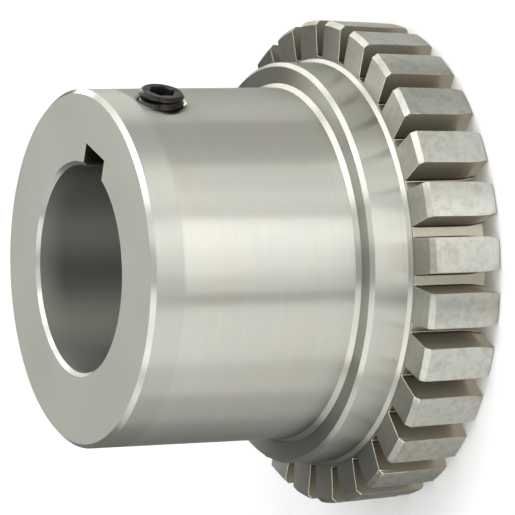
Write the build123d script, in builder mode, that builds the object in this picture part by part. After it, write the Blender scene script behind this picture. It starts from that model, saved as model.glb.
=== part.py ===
"""Toothed hub of a grid coupling, with its socket set screw."""
import os

from build123d import *

os.makedirs("parts", exist_ok=True)

# The hub stands on its gap face. The bore axis is +Z and the gap face is z = 0.
# The keyway and the set screw both lie along +X.

# Driving dimensions of the hub, in millimetres
hub_length = 47.5
barrel_diameter = 49.2
bore_diameter = 28.575
keyway_width = 6.35
keyway_depth = 2.95
barrel_chamfer = 0.6
bore_chamfer = 0.5

# Driving dimensions of the seal land and its shoulder
shoulder_step = 3.5
land_length = 6.05
land_chamfer = 0.55
shoulder_cove = 0.6
flange_cove = 0.5

# Driving dimensions of the toothed flange
tooth_count = 28
root_step = 0.8
tip_drop = 0.4
flange_width = 10.85
slot_width = 2.85
slot_floor_width = 1.55
slot_depth = 5.1
slot_corner = 0.25
flare_length = 3.0
flare_depth = 0.4
tooth_chamfer = 0.65
tip_chamfer = 0.4
first_slot_angle = 5.5

# Driving dimensions of the set screw
screw_diameter = 6.35
screw_length = 7.94
screw_setback = 8.6
screw_stand = 1.4
screw_clearance = 0.05
screw_bevel = 0.45
point_bevel = 1.1
socket_flats = 3.175
socket_depth = 3.2
hole_bevel = 0.4

# Sizes that follow from the driving ones
barrel_radius = barrel_diameter / 2
bore_radius = bore_diameter / 2
land_radius = barrel_radius + shoulder_step
root_radius = land_radius + root_step
tip_radius = root_radius + slot_depth
shoulder_height = flange_width + land_length
keyway_top = bore_radius + keyway_depth
screw_radius = screw_diameter / 2
screw_height = hub_length - screw_setback
screw_head = barrel_radius + screw_stand
screw_tip = screw_head - screw_length
hole_radius = screw_radius + screw_clearance

# Slot between two teeth: it narrows from the tips to its floor, where the corners are round,
# and it is flared towards the gap face
past = 1.0
cutter_top = root_radius + slot_depth + past
side_slope = (slot_width - slot_floor_width) / 2 / slot_depth
half_floor = slot_floor_width / 2
half_top = half_floor + side_slope * (slot_depth + past)
flare_radius = (flare_length ** 2 + flare_depth ** 2) / (2 * flare_depth)
flare_stations = (flare_length, flare_length * 0.55, 0, -past)

with BuildPart() as slot_cutter:
    with BuildSketch(Plane.XY.offset(flare_length)) as throat:
        with BuildLine():
            Polyline(
                (root_radius, -half_floor),
                (cutter_top, -half_top),
                (cutter_top, half_top),
                (root_radius, half_floor),
                close=True,
            )
        make_face()
        fillet(throat.vertices().group_by(Axis.X)[0], radius=slot_corner)
    extrude(amount=flange_width - flare_length + past)
    for station in flare_stations:
        opening = flare_radius - (flare_radius ** 2 - (flare_length - station) ** 2) ** 0.5
        with BuildSketch(Plane.XY.offset(station)) as mouth:
            with BuildLine():
                Polyline(
                    (root_radius, -half_floor - opening),
                    (cutter_top, -half_top - opening),
                    (cutter_top, half_top + opening),
                    (root_radius, half_floor + opening),
                    close=True,
                )
            make_face()
            fillet(mouth.vertices().group_by(Axis.X)[0], radius=slot_corner)
    loft(ruled=True)

# Hub: one turned body with a stepped outside, milled slots and a broached keyway
with BuildPart() as hub:
    with BuildSketch(Plane.XZ):
        with BuildLine():
            Polyline(
                (bore_radius + bore_chamfer, 0),
                (tip_radius - tip_drop - tip_chamfer, 0),
                (tip_radius - tip_drop, tip_chamfer),
                (tip_radius, flange_width - tooth_chamfer),
                (tip_radius - tooth_chamfer, flange_width),
                (land_radius + flange_cove, flange_width),
                (land_radius, flange_width + flange_cove),
                (land_radius, shoulder_height - land_chamfer),
                (land_radius - land_chamfer, shoulder_height),
                (barrel_radius + shoulder_cove, shoulder_height),
                (barrel_radius, shoulder_height + shoulder_cove),
                (barrel_radius, hub_length - barrel_chamfer),
                (barrel_radius - barrel_chamfer, hub_length),
                (bore_radius + bore_chamfer, hub_length),
                (bore_radius, hub_length - bore_chamfer),
                (bore_radius, bore_chamfer),
                (bore_radius + bore_chamfer, 0),
            )
        make_face()
    revolve(axis=Axis.Z)
    with PolarLocations(radius=0, count=tooth_count, start_angle=first_slot_angle):
        add(slot_cutter.part, mode=Mode.SUBTRACT)
    # Keyway broached through the whole bore
    with BuildSketch(Plane.XY.offset(-past)):
        with Locations((keyway_top / 2, 0)):
            Rectangle(keyway_top, keyway_width)
    extrude(amount=hub_length + 2 * past, mode=Mode.SUBTRACT)
    # Screw hole from the barrel into the keyway, with a bevelled mouth
    with BuildSketch(Plane(origin=(bore_radius, 0, screw_height), z_dir=(1, 0, 0))):
        Circle(hole_radius)
    extrude(amount=barrel_radius - bore_radius + past, mode=Mode.SUBTRACT)
    with BuildSketch(Plane.XZ.offset(0)):
        with BuildLine():
            Polyline(
                (barrel_radius - hole_bevel, screw_height),
                (barrel_radius - hole_bevel, screw_height + hole_radius),
                (barrel_radius + past, screw_height + hole_radius + hole_bevel + past),
                (barrel_radius + past, screw_height),
                close=True,
            )
        make_face()
    revolve(axis=Axis((0, 0, screw_height), (1, 0, 0)), mode=Mode.SUBTRACT)

# Set screw: bevelled rim, hexagon socket in the outer end, cone point towards the key
with BuildPart() as set_screw:
    with BuildSketch(Plane(origin=(screw_tip, 0, screw_height), z_dir=(1, 0, 0))):
        Circle(screw_radius)
    extrude(amount=screw_length)
    outer_rim = set_screw.edges().sort_by(Axis.X)[-1]
    chamfer(outer_rim, length=screw_bevel)
    point_rim = set_screw.edges().sort_by(Axis.X)[0]
    chamfer(point_rim, length=point_bevel)
    with BuildSketch(Plane(origin=(screw_head - socket_depth, 0, screw_height), z_dir=(1, 0, 0))):
        RegularPolygon(radius=socket_flats / 2, side_count=6, major_radius=False)
    extrude(amount=socket_depth + past, mode=Mode.SUBTRACT)

hub.part.label = "hub"
set_screw.part.label = "set_screw"
export_step(hub.part, "parts/hub.step")
export_step(set_screw.part, "parts/set_screw.step")
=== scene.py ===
import math
from types import SimpleNamespace

import bmesh
import bpy
from mathutils import Matrix, Vector


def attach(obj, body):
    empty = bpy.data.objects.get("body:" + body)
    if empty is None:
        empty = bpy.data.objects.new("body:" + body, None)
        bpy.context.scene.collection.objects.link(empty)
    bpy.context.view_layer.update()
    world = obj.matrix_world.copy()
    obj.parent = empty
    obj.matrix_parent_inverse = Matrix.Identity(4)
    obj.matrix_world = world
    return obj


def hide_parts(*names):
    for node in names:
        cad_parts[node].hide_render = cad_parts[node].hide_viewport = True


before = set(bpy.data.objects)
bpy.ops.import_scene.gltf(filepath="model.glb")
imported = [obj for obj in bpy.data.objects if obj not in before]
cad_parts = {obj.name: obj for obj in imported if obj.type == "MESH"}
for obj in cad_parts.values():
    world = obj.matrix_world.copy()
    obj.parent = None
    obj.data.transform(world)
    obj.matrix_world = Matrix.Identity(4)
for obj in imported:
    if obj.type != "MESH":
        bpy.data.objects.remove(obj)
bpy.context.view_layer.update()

MM = 0.001

# Real sizes of the hub, in metres, in the frame of the part.
bore_radius = 14.2875 * MM
keyway_depth = 2.95 * MM
barrel_radius = 24.6 * MM
land_radius = 28.1 * MM
root_radius = 28.9 * MM
hub_length = 47.5 * MM
flange_width = 10.85 * MM
second_cut_start = 42.8 * MM
broken_edge = 0.06 * MM

# Real sizes of the set screw, which lies along +X.
screw_radius = 3.175 * MM
screw_height = 38.9 * MM
screw_head = 26.0 * MM
screw_tip = 18.06 * MM
rim_bevel = 0.45 * MM
point_bevel = 1.1 * MM
thread_pitch = 1.27 * MM
thread_depth = 0.42 * MM
thread_runout = 0.35 * MM
crest_clearance = 0.01 * MM
socket_flats = 3.175 * MM
socket_depth = 3.2 * MM
socket_mouth = 0.12 * MM

# Camera, from the photograph's viewing angle.
camera_azimuth = math.radians(-65.97)
camera_elevation = math.radians(26.19)
camera_roll = math.radians(-91.655)
camera_distance = 539.26 * MM
camera_aim = Vector((0.731, 0.464, 20.0)) * MM
camera_lens = 269.5
camera_sensor = 36.0

# Lights: metres, and degrees for the strips' elevation.
light_distance = 0.9
strip_elevation = 5
strip_height = 0.15

# Colours of the steel: the tints of its bare metal, painted light and shade on its faces, and
# painted shade in its slots, bore and keyway.
warm_steel = (0.475, 0.465, 0.405, 1.0)
cool_steel = (0.45, 0.46, 0.415, 1.0)
green_steel = (0.43, 0.475, 0.42, 1.0)
lathe_ring_grey = (0.35, 0.35, 0.32, 1.0)
flange_mottle = (0.30, 0.29, 0.235, 1.0)
second_cut_grey = (0.36, 0.355, 0.32, 1.0)
# The front face's paler colour is painted light on the same turned steel.
front_face_painted_light = (0.67, 0.665, 0.60, 1.0)
# The other faces' darker colour is painted shade on the same turned steel.
other_face_painted_shade = (0.30, 0.295, 0.26, 1.0)
# Painted shade in the slots: floors, walls and, darkest, the corners of the floor.
slot_floor_painted_shade = (0.27, 0.245, 0.18, 1.0)
slot_wall_painted_shade = (0.43, 0.39, 0.295, 1.0)
slot_corner_painted_shade = (0.10, 0.09, 0.065, 1.0)
# The bore is darker for its bored finish and for painted shade inside it.
bore_finish_and_shade = (0.17, 0.17, 0.15, 1.0)
# The keyway is painted shade, near black inside the bore.
keyway_painted_shade = (0.06, 0.055, 0.04, 1.0)
edge_tint = (0.35, 0.35, 0.35, 1.0)

# Roughness of the steel on each of its surfaces.
barrel_rough = 0.30
second_cut_rough = 0.43
land_rough = 0.29
flange_rough = 0.33
front_face_rough = 0.40
other_face_rough = 0.31
milled_rough = 0.42
slanted_rough = 0.30
bore_rough = 0.80

# Colours of the set screw and of the floor.
oxide_black = (0.008, 0.007, 0.006, 1.0)
oxide_brown = (0.022, 0.017, 0.013, 1.0)
# The lighter brown on the screw's sharp edges is rubbed oxide, and partly a painted highlight
# along its rim.
rubbed_brown_and_highlight = (0.14, 0.115, 0.095, 1.0)
floor_grey = (0.80, 0.80, 0.80, 1.0)
floor_pale = (0.82, 0.82, 0.82, 1.0)
white = (1.0, 1.0, 1.0, 1.0)

along_x = (1.0, 0.0, 0.0, 1.0)
along_z = (0.0, 0.0, 1.0, 1.0)


def direction(azimuth, elevation):
    flat = math.cos(elevation)
    return Vector((flat * math.cos(azimuth), flat * math.sin(azimuth), math.sin(elevation)))


def add_object(name, data):
    made = bpy.data.objects.new(name, data)
    bpy.context.scene.collection.objects.link(made)
    return made


def place_camera():
    towards = direction(camera_azimuth, camera_elevation)
    forward = -towards
    side = forward.cross(Vector((0, 0, 1))).normalized()
    above = side.cross(forward)
    # The camera lies on its side, so that the bore's axis runs across the picture.
    right = math.cos(camera_roll) * side + math.sin(camera_roll) * above
    up = math.cos(camera_roll) * above - math.sin(camera_roll) * side
    data = bpy.data.cameras.new("camera")
    data.lens = camera_lens
    data.sensor_width = camera_sensor
    data.clip_start = 0.01
    data.clip_end = 50.0
    camera = add_object("camera", data)
    place = camera_aim + towards * camera_distance
    camera.matrix_world = Matrix((
        (right.x, up.x, towards.x, place.x),
        (right.y, up.y, towards.y, place.y),
        (right.z, up.z, towards.z, place.z),
        (0, 0, 0, 1),
    ))
    bpy.context.scene.camera = camera


class Graph:
    """Adds and joins the shader nodes of one material or world."""

    def __init__(self, owner, shader):
        owner.use_nodes = True
        self.owner = owner
        self.tree = owner.node_tree
        self.shader = self.tree.nodes[shader]

    def node(self, kind, **settings):
        made = self.tree.nodes.new(kind)
        for key, value in settings.items():
            setattr(made, key, value)
        return made

    def put(self, value, socket):
        if isinstance(value, bpy.types.NodeSocket):
            self.tree.links.new(value, socket)
        else:
            socket.default_value = value

    def math(self, operation, a, b=0.0, clamp=False):
        made = self.node("ShaderNodeMath", operation=operation, use_clamp=clamp)
        self.put(a, made.inputs[0])
        self.put(b, made.inputs[1])
        return made.outputs[0]

    def times(self, first, *others):
        for other in others:
            first = self.math("MULTIPLY", first, other)
        return first

    def outside(self, mask):
        return self.math("SUBTRACT", 1.0, mask)

    def span(self, value, low, high, to_low=0.0, to_high=1.0, smooth=True):
        """Carries a value from low..high over to to_low..to_high, and holds it at the ends."""
        made = self.node("ShaderNodeMapRange")
        made.interpolation_type = "SMOOTHSTEP" if smooth else "LINEAR"
        self.put(value, made.inputs["Value"])
        self.put(low, made.inputs["From Min"])
        self.put(high, made.inputs["From Max"])
        self.put(to_low, made.inputs["To Min"])
        self.put(to_high, made.inputs["To Max"])
        return made.outputs[0]

    def mix(self, share, a, b):
        made = self.node("ShaderNodeMix", data_type="RGBA")
        self.put(share, made.inputs[0])
        self.put(a, made.inputs[6])
        self.put(b, made.inputs[7])
        return made.outputs[2]

    def blend(self, share, a, b):
        made = self.node("ShaderNodeMix", data_type="FLOAT")
        self.put(share, made.inputs[0])
        self.put(a, made.inputs[2])
        self.put(b, made.inputs[3])
        return made.outputs[0]

    def join(self, x, y, z):
        made = self.node("ShaderNodeCombineXYZ")
        self.put(x, made.inputs[0])
        self.put(y, made.inputs[1])
        self.put(z, made.inputs[2])
        return made.outputs[0]

    def split(self, vector):
        made = self.node("ShaderNodeSeparateXYZ")
        self.put(vector, made.inputs[0])
        return made.outputs[0], made.outputs[1], made.outputs[2]

    def dot(self, a, b):
        made = self.node("ShaderNodeVectorMath", operation="DOT_PRODUCT")
        self.put(a, made.inputs[0])
        self.put(b, made.inputs[1])
        return made.outputs["Value"]

    def noise(self, vector, scale, detail, roughness):
        made = self.node("ShaderNodeTexNoise")
        self.put(vector, made.inputs["Vector"])
        self.put(scale, made.inputs["Scale"])
        self.put(detail, made.inputs["Detail"])
        self.put(roughness, made.inputs["Roughness"])
        return made.outputs[0]

    def bump(self, height, strength):
        made = self.node("ShaderNodeBump")
        made.inputs["Strength"].default_value = strength
        made.inputs["Distance"].default_value = 0.02 * MM
        self.put(height, made.inputs["Height"])
        return made.outputs[0]


def hub_zones(g, place):
    """Masks from 0 to 1 for the hub's surfaces, by where a point lies and which way it faces."""
    x, y, z = g.split(place.outputs["Object"])
    nx, ny, nz = g.split(place.outputs["Normal"])
    radius = g.math("SQRT", g.math("ADD", g.times(x, x), g.times(y, y)))
    outward = g.math("DIVIDE", g.math("ADD", g.times(x, nx), g.times(y, ny)), radius)
    sideways = g.math("ABSOLUTE", outward)
    steep = g.math("ABSOLUTE", nz)

    zone = SimpleNamespace(z=z, radius=radius, angle=g.math("ARCTAN2", y, x))
    zone.on_face = g.span(steep, 0.6, 0.85)
    zone.on_side = g.span(sideways, 0.35, 0.75)
    zone.turned = g.math("MAXIMUM", zone.on_face, zone.on_side)
    zone.on_flange = g.span(radius, land_radius + 0.3 * MM, land_radius + 0.6 * MM)
    off_flange = g.outside(zone.on_flange)

    # Slots, below the flange's front: their walls, their floors and the corners between.
    under_front = g.span(z, flange_width - 0.3 * MM, flange_width + 0.1 * MM, 1.0, 0.0)
    in_slot = g.times(zone.on_flange, under_front)
    above_root = g.span(radius, root_radius + 0.15 * MM, root_radius + 0.5 * MM)
    zone.slot_wall = g.times(g.outside(zone.turned), above_root, in_slot)
    near_root = g.span(radius, root_radius + 0.1 * MM, root_radius + 0.6 * MM, 1.0, 0.0)
    zone.slot_floor = g.times(near_root, in_slot)
    leaning = g.span(sideways, 0.80, 0.97, 1.0, 0.0)
    zone.slot_corner = g.times(zone.slot_floor, leaning, g.outside(zone.on_face))

    # Bore and keyway, without the bevels at their ends.
    keyway_roof = bore_radius + keyway_depth
    inner = g.span(radius, keyway_roof + 0.25 * MM, keyway_roof + 0.65 * MM, 1.0, 0.0)
    zone.in_bore = g.times(inner, g.span(steep, 0.3, 0.5, 1.0, 0.0))
    past_bore = g.span(radius, bore_radius + 0.2 * MM, bore_radius + 0.6 * MM)
    zone.in_keyway = g.times(zone.in_bore, past_bore)

    # The barrel's front end, the seal land, the coves and bevels, and the two kinds of face.
    recut = g.span(z, second_cut_start - 0.1 * MM, second_cut_start + 0.1 * MM)
    zone.second_cut = g.times(zone.on_side, recut)
    past_barrel = g.span(radius, barrel_radius + 1.0 * MM, barrel_radius + 1.5 * MM)
    zone.on_land = g.times(past_barrel, zone.on_side, off_flange)
    zone.slanted = g.times(g.span(g.times(steep, sideways), 0.2, 0.4), off_flange)
    near_front = g.span(z, hub_length - 1.0 * MM, hub_length - 0.5 * MM)
    zone.front_face = g.times(zone.on_face, near_front)
    zone.other_face = g.math("SUBTRACT", zone.on_face, zone.front_face)
    return zone


def hub_marks(g, place, zone):
    """The steel's fine patterns: lathe marks round the axis, and stains and grain all over."""
    # Lathe marks vary along the barrel, and along the radius on a face.
    travel = g.blend(zone.on_face, zone.z, zone.radius)
    round_place = g.join(g.times(zone.angle, 0.0003), travel, g.times(zone.on_face, 0.3))
    spot = place.outputs["Object"]
    return SimpleNamespace(
        fine=g.noise(round_place, scale=5200.0, detail=3.0, roughness=0.65),
        coarse=g.noise(round_place, scale=900.0, detail=2.0, roughness=0.55),
        blotch=g.noise(spot, scale=95.0, detail=3.0, roughness=0.6),
        tint=g.noise(spot, scale=170.0, detail=2.0, roughness=0.5),
        mottle=g.noise(spot, scale=900.0, detail=3.0, roughness=0.6),
        grain=g.noise(spot, scale=2600.0, detail=3.0, roughness=0.6),
    )


def steel_colour(g, zone, marks):
    base = g.mix(g.span(marks.blotch, 0.35, 0.65), warm_steel, cool_steel)
    base = g.mix(g.span(marks.tint, 0.52, 0.75, 0.0, 0.35), base, green_steel)
    coarse_rings = g.span(marks.coarse, 0.3, 0.7, 0.0, 0.10)
    fine_rings = g.span(marks.fine, 0.3, 0.7, 0.0, 0.16)
    base = g.mix(g.math("ADD", coarse_rings, fine_rings), base, lathe_ring_grey)
    mottled = g.times(zone.on_flange, g.span(marks.mottle, 0.4, 0.7, 0.0, 0.55))
    base = g.mix(mottled, base, flange_mottle)
    # Slot walls and floors are painted shade, darker and browner, and darkest in the corners of
    # the floor.
    layers = (
        (zone.second_cut, 0.10, second_cut_grey),
        # The front face is painted light: paler than the same turned steel elsewhere.
        (zone.front_face, 0.90, front_face_painted_light),
        # The other faces, such as the shoulder and the tooth fronts, are painted shade: darker
        # than the same steel.
        (zone.other_face, 0.60, other_face_painted_shade),
        (zone.slot_floor, 0.80, slot_floor_painted_shade),
        (zone.slot_wall, 0.85, slot_wall_painted_shade),
        (zone.slot_corner, 0.80, slot_corner_painted_shade),
        # The bore is darker for its bored finish and for painted shade inside it.
        (zone.in_bore, 0.80, bore_finish_and_shade),
        # The keyway is painted shade, near black.
        (zone.in_keyway, 0.80, keyway_painted_shade),
    )
    for mask, share, colour in layers:
        base = g.mix(g.times(mask, share), base, colour)
    return base


def steel_roughness(g, zone, marks):
    # The barrel's first few millimetres were turned again, and are duller. The seal land is
    # ground smooth, and the tool's nose leaves the coves and bevels smooth too.
    side_rough = g.blend(zone.second_cut, barrel_rough, second_cut_rough)
    side_rough = g.blend(zone.on_land, side_rough, land_rough)
    side_rough = g.blend(zone.on_flange, side_rough, flange_rough)
    face_rough = g.blend(zone.front_face, other_face_rough, front_face_rough)
    turned_rough = g.blend(zone.on_face, side_rough, face_rough)
    rough = g.blend(zone.turned, milled_rough, turned_rough)
    rough = g.blend(zone.slanted, rough, slanted_rough)
    rough = g.blend(zone.in_bore, rough, bore_rough)
    uneven = g.span(marks.blotch, 0.3, 0.7, -0.01, 0.02, smooth=False)
    return g.math("ADD", rough, uneven, clamp=True)


def marks_direction(g, zone):
    """Round the axis on what is turned, along X on the front face, along Z on slot walls."""
    tangent = g.node("ShaderNodeTangent", direction_type="RADIAL", axis="Z").outputs[0]
    tangent = g.mix(zone.front_face, tangent, along_x)
    return g.mix(g.outside(zone.turned), tangent, along_z)


def steel_height(g, zone, marks):
    lathe_marks = g.math("ADD", g.times(marks.fine, 0.3), g.times(marks.coarse, 0.3))
    height = g.blend(zone.turned, marks.grain, lathe_marks)
    return g.math("ADD", height, g.times(marks.mottle, zone.on_flange, 0.8))


def steel():
    g = Graph(bpy.data.materials.new("turned_steel"), "Principled BSDF")
    place = g.node("ShaderNodeTexCoord")
    zone = hub_zones(g, place)
    marks = hub_marks(g, place, zone)
    g.put(steel_colour(g, zone, marks), g.shader.inputs["Base Color"])
    g.put(steel_roughness(g, zone, marks), g.shader.inputs["Roughness"])
    g.put(marks_direction(g, zone), g.shader.inputs["Tangent"])
    g.put(g.bump(steel_height(g, zone, marks), strength=0.15), g.shader.inputs["Normal"])
    g.shader.inputs["Metallic"].default_value = 1.0
    g.shader.inputs["Specular Tint"].default_value = edge_tint
    g.shader.inputs["Anisotropic"].default_value = 1.0
    g.shader.inputs["Anisotropic Rotation"].default_value = 0.25
    return g.owner


def black_oxide():
    g = Graph(bpy.data.materials.new("black_oxide_screw"), "Principled BSDF")
    spot = g.node("ShaderNodeTexCoord").outputs["Object"]
    speckle = g.noise(spot, scale=1400.0, detail=3.0, roughness=0.6)
    worn = g.noise(spot, scale=500.0, detail=2.0, roughness=0.5)
    edge = g.node("ShaderNodeNewGeometry").outputs["Pointiness"]
    base = g.mix(g.span(worn, 0.4, 0.7), oxide_black, oxide_brown)
    # Sharp edges turn lighter brown: rubbed oxide, and partly a painted highlight on the rim.
    base = g.mix(g.times(g.span(edge, 0.53, 0.62), 0.3), base, rubbed_brown_and_highlight)
    rough = g.span(speckle, 0.3, 0.7, 0.30, 0.46, smooth=False)
    g.put(base, g.shader.inputs["Base Color"])
    g.put(rough, g.shader.inputs["Roughness"])
    g.put(g.bump(speckle, strength=0.25), g.shader.inputs["Normal"])
    g.shader.inputs["Metallic"].default_value = 0.75
    return g.owner


def pale_floor():
    g = Graph(bpy.data.materials.new("pale_floor"), "Principled BSDF")
    spot = g.node("ShaderNodeTexCoord").outputs["Object"]
    soft = g.noise(spot, scale=3.0, detail=2.0, roughness=0.5)
    g.put(g.mix(soft, floor_grey, floor_pale), g.shader.inputs["Base Color"])
    g.shader.inputs["Roughness"].default_value = 0.9
    return g.owner


def make_floor():
    shape = bmesh.new()
    bmesh.ops.create_grid(shape, x_segments=8, y_segments=8, size=4.0)
    data = bpy.data.meshes.new("floor")
    shape.to_mesh(data)
    shape.free()
    floor = add_object("floor", data)
    floor.data.materials.append(pale_floor())
    # The metal mirrors the grey surround and not the pale floor, as it does in the photograph.
    floor.visible_glossy = False


def softbox(name, azimuth, elevation, power, width=0.45, height=0.4):
    """A rectangular soft light that faces the part, its azimuth counted from the camera's."""
    data = bpy.data.lights.new(name, "AREA")
    data.shape = "RECTANGLE"
    data.size = width
    data.size_y = height
    data.energy = power
    light = add_object(name, data)
    towards = direction(camera_azimuth + math.radians(azimuth), math.radians(elevation))
    light.location = towards * light_distance + Vector((0, 0, hub_length / 2))
    light.rotation_euler = towards.to_track_quat("Z", "Y").to_euler()
    light.visible_camera = False


def strip(name, start, end, power):
    """A low strip light over an arc of azimuth, which draws one band along the barrel."""
    width = 2 * light_distance * math.tan(math.radians((end - start) / 2))
    softbox(name, (start + end) / 2, strip_elevation, power, width, strip_height)


def make_lights():
    softbox("near_front", 30, 40, power=1.1)
    softbox("upper_front", 60, 40, power=3.3)
    softbox("upper_side", 90, 40, power=2.0)
    softbox("upper_back", 120, 40, power=1.2)
    softbox("low_back", 125, 23, power=0.6, width=0.35, height=0.3)
    softbox("back", 150, 40, power=1.0)
    softbox("overhead", 0, 89, power=1.2, width=0.5, height=0.5)
    softbox("lower_front", -45, 40, power=3.5, width=0.7)
    softbox("lower_side", -105, 40, power=1.2, width=0.7)
    strip("band_bright", 8, 27, power=2.6)
    strip("band_middle", -6, 8, power=1.6)
    strip("band_low", -17, -6, power=0.75)
    strip("band_under", -60, -24, power=2.3)
    strip("band_lower", -85, -60, power=1.15)
    strip("rim_under", -110, -85, power=0.4)
    strip("band_over", 27, 45, power=1.1)
    strip("band_upper", 45, 62, power=0.7)
    strip("rim_side", 98, 125, power=1.1)
    strip("rim_back", 125, 165, power=2.7)


def surround(below, front, back):
    """A soft grey surround, by its brightness below the horizon and above it, front and back."""
    g = Graph(bpy.data.worlds.new("studio"), "Background")
    view = g.node("ShaderNodeTexCoord").outputs["Generated"]
    ahead = g.dot(view, direction(camera_azimuth, 0.0))
    above_horizon = g.span(g.split(view)[2], -0.06, 0.06)
    level = g.blend(above_horizon, below, g.span(ahead, -0.5, 0.5, back, front))
    g.put(level, g.shader.inputs["Strength"])
    g.shader.inputs["Color"].default_value = white
    bpy.context.scene.world = g.owner


def clamped(value):
    return min(1.0, max(0.0, value))


def thread_radius(turn, along):
    """The threaded shank's radius, by the share of a turn and the way from the tip."""
    flank_slope, crest_share, end_share = 1.25, 0.1, 0.25
    wave = (along / thread_pitch - turn) % 1.0
    flank = abs(wave * 2.0 - 1.0)
    depth = thread_depth * clamped(flank_slope * flank - crest_share)
    # The thread gets shallower towards the bevelled rim.
    to_rim = screw_head - screw_tip - along - rim_bevel
    fade = clamped(to_rim / thread_runout)
    return screw_radius - crest_clearance - depth * (end_share + (1.0 - end_share) * fade)


def hexagon_radius(angle, flats):
    sector = math.radians(60)
    local = (angle + sector / 2) % sector - sector / 2
    return flats / 2 / math.cos(local)


def screw_rings(around, shank_steps):
    """Rings of (x, radius, angle) from the point to the rim, and back down into the socket."""
    angles = [2 * math.pi * index / around for index in range(around)]
    length = screw_head - screw_tip
    rings = []
    for step in range(shank_steps + 1):
        along = length * step / shank_steps
        limit = screw_radius - max(0.0, point_bevel - along)
        limit = min(limit, screw_radius - max(0.0, rim_bevel - (length - along)))
        ring = []
        for index, angle in enumerate(angles):
            reach = min(limit, thread_radius(index / around, along))
            ring.append((screw_tip + along, reach, angle))
        rings.append(ring)

    # The socket's hexagon, by depth, width over flats and how far its mouth is broken.
    hexagons = (
        (0.0, socket_flats + 2 * socket_mouth, 0.5 * socket_mouth),
        (0.5 * socket_mouth, socket_flats + 0.8 * socket_mouth, 0.0),
        (1.6 * socket_mouth, socket_flats, 0.0),
        (0.5 * socket_depth, socket_flats, 0.0),
        (0.8 * socket_depth, socket_flats, 0.0),
    )
    for depth, flats, broken in hexagons:
        place = screw_head - depth
        rings.append([(place, hexagon_radius(angle, flats) + broken, angle) for angle in angles])
    # The drilled floor under it, by depth and radius.
    drilled = (
        (0.9 * socket_depth, 0.425 * socket_flats),
        (socket_depth, 0.12 * socket_flats),
    )
    for depth, reach in drilled:
        rings.append([(screw_head - depth, reach, angle) for angle in angles])
    return rings


def make_screw():
    """The set screw: a threaded shank with a bevelled rim and a hexagon socket."""
    around = 96
    shape = bmesh.new()
    rows = []
    for ring in screw_rings(around, shank_steps=84):
        row = []
        for place, reach, angle in ring:
            y = reach * math.cos(angle)
            z = screw_height + reach * math.sin(angle)
            row.append(shape.verts.new((place, y, z)))
        rows.append(row)
    for below, above in zip(rows, rows[1:]):
        for index in range(around):
            after = (index + 1) % around
            shape.faces.new((below[index], below[after], above[after], above[index]))
    for end in (rows[0], rows[-1]):
        centre = shape.verts.new((end[0].co.x, 0.0, screw_height))
        for index in range(around):
            after = (index + 1) % around
            shape.faces.new((end[index], end[after], centre))
    bmesh.ops.recalc_face_normals(shape, faces=shape.faces)
    data = bpy.data.meshes.new("set_screw_threaded")
    shape.to_mesh(data)
    shape.free()
    data.shade_smooth()
    data.set_sharp_from_angle(angle=math.radians(32))
    screw = add_object("set_screw_threaded", data)
    screw.data.materials.append(black_oxide())
    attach(screw, "set_screw")
    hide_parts("set_screw")


def finish_hub():
    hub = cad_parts["hub"]
    hub.data.materials.clear()
    hub.data.materials.append(steel())
    # Edges are broken by hand on the real part, so they catch the light; the faces between
    # them stay true.
    joined = hub.modifiers.new("join_faces", "WELD")
    joined.merge_threshold = 0.002 * MM
    broken = hub.modifiers.new("broken_edges", "BEVEL")
    broken.width = broken_edge
    broken.segments = 2
    broken.limit_method = "ANGLE"
    broken.angle_limit = math.radians(50)
    broken.use_clamp_overlap = False
    crisp = hub.modifiers.new("crisp_edges", "EDGE_SPLIT")
    crisp.split_angle = math.radians(40)
    true_faces = hub.modifiers.new("true_faces", "WEIGHTED_NORMAL")
    true_faces.keep_sharp = True


place_camera()
make_floor()
make_lights()
surround(below=0.76, front=0.15, back=0.32)
bpy.context.scene.view_settings.view_transform = "Standard"
make_screw()
finish_hub()
